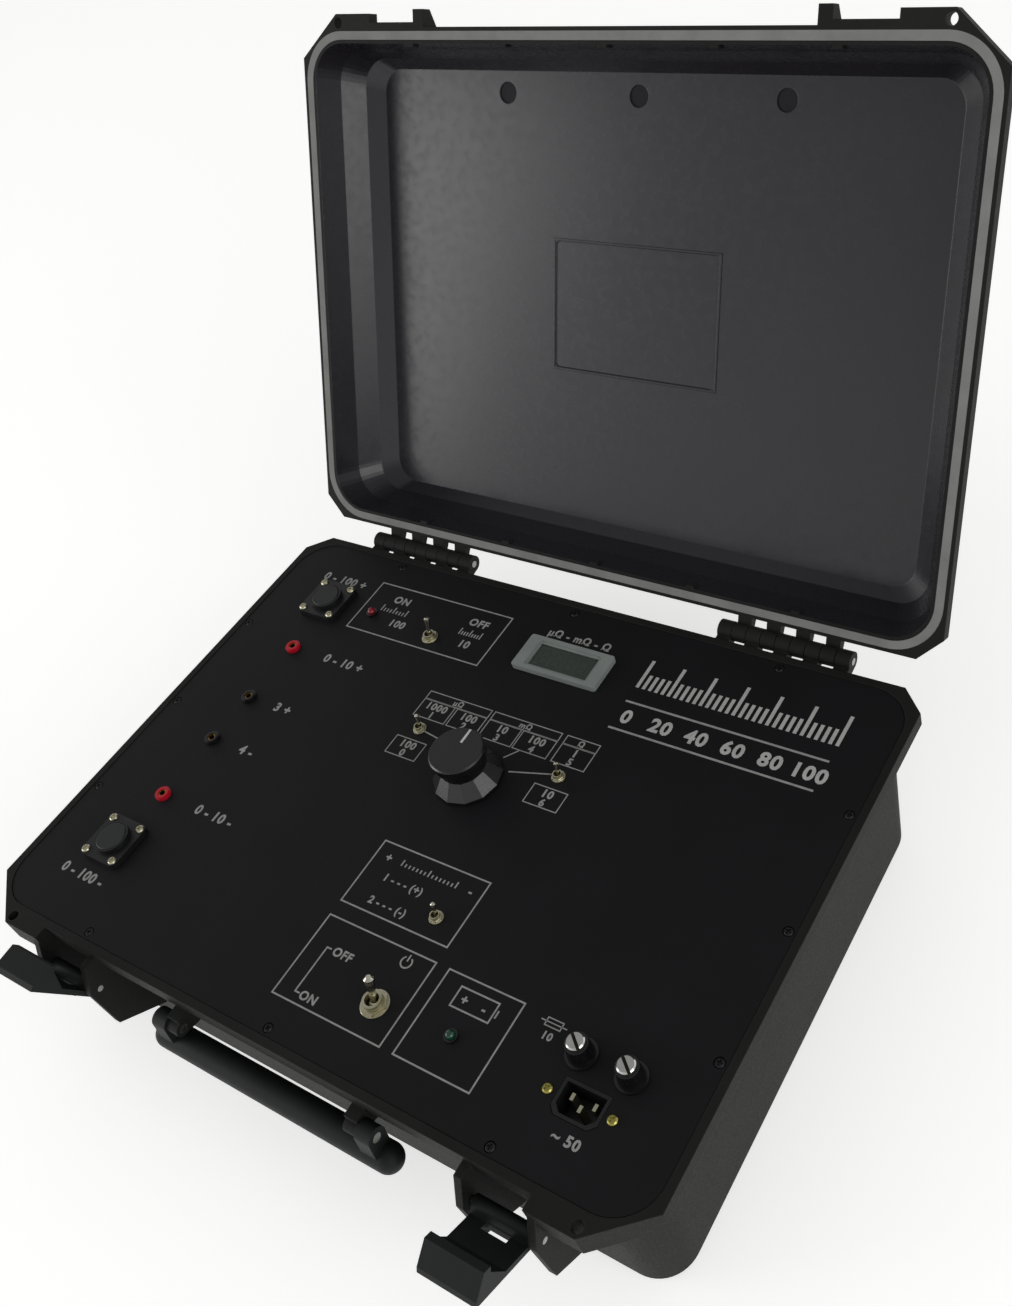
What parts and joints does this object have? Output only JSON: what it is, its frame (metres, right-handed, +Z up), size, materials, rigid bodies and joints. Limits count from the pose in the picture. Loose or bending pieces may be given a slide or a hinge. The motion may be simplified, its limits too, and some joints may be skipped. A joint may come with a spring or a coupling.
{
  "type": "micro ohmmeter in transit case",
  "caption": "Portable low-resistance meter in a rugged hinged transit case: dark control panel with digital meter, range knob, toggles, test sockets, fuses, mains inlet",
  "frame": {"origin": "centre of the flat underside of the case, on the table", "axes": "X along the hinges to the right as seen from the handle side, Y from the handle to the hinges, Z up; the lid stands open behind"},
  "size_m": [0.51, 0.6283, 0.4613],
  "materials": {
    "case_plastic": "dark grey moulded polypropylene with a fine grain",
    "panel_plate": "satin black printed aluminium",
    "black_screws": "black oxide",
    "bezel_plastic": "light grey moulded",
    "meter_glass": "grey display window",
    "module_plastic": "dark grey with a dull green-grey display",
    "socket_plastic": "moulded black",
    "contact_brass": "machined",
    "nickel_hardware": "nickel plated",
    "red_plastic": "moulded red",
    "black_plastic": "moulded black",
    "switch_resin": "brown phenolic",
    "knob_plastic": "satin black",
    "pointer_paint": "white line",
    "lever_chrome": "plated",
    "red_lens": "unlit red lens",
    "green_lens": "unlit green lens",
    "cap_nickel": "nickel plated",
    "fuse_glass": "clear tube with metal ends",
    "inlet_plastic": "moulded black",
    "zinc_screws": "yellow zinc plated",
    "gasket_foam": "grey foamed seal",
    "pin_steel": "drawn",
    "latch_plastic": "dark grey moulded",
    "handle_plastic": "dark grey moulded",
    "battery_plastic": "dark grey case",
    "bracket_steel": "zinc plated",
    "core_steel": "laminated",
    "coil_copper": "taped winding",
    "board_laminate": "green solder mask",
    "sink_aluminium": "extruded",
    "transistor_epoxy": "moulded",
    "bar_copper": "bare copper"
  },
  "bodies": {
    "case": {"base_shell": "case_plastic", "front_panel": "panel_plate", "panel_screws": "black_screws", "meter_bezel": "bezel_plastic", "meter_window": "meter_glass", "meter_module": "module_plastic", "current_sockets": "socket_plastic", "socket_contacts": "contact_brass", "socket_screws": "nickel_hardware", "red_jacks": "red_plastic", "black_jacks": "black_plastic", "jack_contacts": "nickel_hardware", "jack_nuts": "nickel_hardware", "range_switch_body": "switch_resin", "range_switch_nut": "nickel_hardware", "power_switch_body": "switch_resin", "power_switch_nut": "nickel_hardware", "current_switch_body": "switch_resin", "current_switch_nut": "nickel_hardware", "small_switch_bodies": "switch_resin", "small_switch_nuts": "nickel_hardware", "red_led": "red_lens", "green_led": "green_lens", "led_holders": "black_plastic", "fuse_holders": "black_plastic", "fuse_links": "fuse_glass", "inlet_body": "inlet_plastic", "inlet_pins": "nickel_hardware", "inlet_screws": "zinc_screws", "hinge_pins": "pin_steel", "latch_pins": "pin_steel", "handle_pins": "pin_steel", "batteries": "battery_plastic", "battery_bracket": "bracket_steel", "transformer_core": "core_steel", "transformer_coil": "coil_copper", "charger_board": "board_laminate", "measuring_board": "board_laminate", "board_standoffs": "nickel_hardware", "current_shunt": "contact_brass", "heat_sink": "sink_aluminium", "power_transistors": "transistor_epoxy", "bus_bars": "bar_copper"},
    "lid": {"lid_shell": "case_plastic", "lid_gasket": "gasket_foam"},
    "left_latch": {"latch_left": "latch_plastic"},
    "right_latch": {"latch_right": "latch_plastic"},
    "carry_handle": {"handle": "handle_plastic"},
    "range_selector": {"range_switch_shaft": "nickel_hardware", "range_knob": "knob_plastic", "knob_pointer": "pointer_paint"},
    "power_toggle": {"power_switch_lever": "lever_chrome"},
    "current_toggle": {"current_switch_lever": "lever_chrome"},
    "left_range_toggle": {"left_range_lever": "lever_chrome"},
    "right_range_toggle": {"right_range_lever": "lever_chrome"},
    "polarity_toggle": {"polarity_lever": "lever_chrome"},
    "left_fuse_cap": {"fuse_cap_left": "cap_nickel"},
    "right_fuse_cap": {"fuse_cap_right": "cap_nickel"},
    "front_socket_cap": {"socket_cap_front": "socket_plastic"},
    "back_socket_cap": {"socket_cap_back": "socket_plastic"}
  },
  "joints": [
    {"name": "lid_hinge", "type": "hinge", "parent": "case", "child": "lid", "pos_m": [0, 0.191, 0.122], "axis": [1, 0, 0], "range_deg": [0, 117]},
    {"name": "left_latch_pivot", "type": "hinge", "parent": "case", "child": "left_latch", "pos_m": [-0.1715, -0.19, 0.096], "axis": [-1, 0, 0], "range_deg": [-73, 27]},
    {"name": "right_latch_pivot", "type": "hinge", "parent": "case", "child": "right_latch", "pos_m": [0.1715, -0.19, 0.096], "axis": [-1, 0, 0], "range_deg": [-38.5, 61.5]},
    {"name": "handle_pivot", "type": "hinge", "parent": "case", "child": "carry_handle", "pos_m": [0, -0.188, 0.1025], "axis": [-1, 0, 0], "range_deg": [0, 100]},
    {"name": "range_turn", "type": "hinge", "parent": "case", "child": "range_selector", "pos_m": [0.0098, 0.022, 0.1236], "axis": [0, 0, 1], "range_deg": [-90, 90]},
    {"name": "power_throw", "type": "hinge", "parent": "case", "child": "power_toggle", "pos_m": [0.051, -0.1315, 0.1236], "axis": [1, 0, 0], "range_deg": [0, 30]},
    {"name": "current_throw", "type": "hinge", "parent": "case", "child": "current_toggle", "pos_m": [-0.0915, 0.1155, 0.1236], "axis": [1, 0, 0], "range_deg": [0, 30]},
    {"name": "left_range_throw", "type": "hinge", "parent": "case", "child": "left_range_toggle", "pos_m": [-0.0467, 0.043, 0.1236], "axis": [1, 0, 0], "range_deg": [0, 24]},
    {"name": "right_range_throw", "type": "hinge", "parent": "case", "child": "right_range_toggle", "pos_m": [0.0663, 0.043, 0.1236], "axis": [1, 0, 0], "range_deg": [0, 24]},
    {"name": "polarity_throw", "type": "hinge", "parent": "case", "child": "polarity_toggle", "pos_m": [0.0515, -0.0715, 0.1236], "axis": [1, 0, 0], "range_deg": [0, 24]},
    {"name": "left_fuse_turn", "type": "hinge", "parent": "case", "child": "left_fuse_cap", "pos_m": [0.1765, -0.1075, 0.1361], "axis": [0, 0, 1], "range_deg": [0, 90]},
    {"name": "right_fuse_turn", "type": "hinge", "parent": "case", "child": "right_fuse_cap", "pos_m": [0.2075, -0.1075, 0.1361], "axis": [0, 0, 1], "range_deg": [0, 90]},
    {"name": "front_cap_pull", "type": "slide", "parent": "case", "child": "front_socket_cap", "axis": [0, 0, 1], "range_m": [0, 0.012]},
    {"name": "back_cap_pull", "type": "slide", "parent": "case", "child": "back_socket_cap", "axis": [0, 0, 1], "range_m": [0, 0.012]}
  ]
}
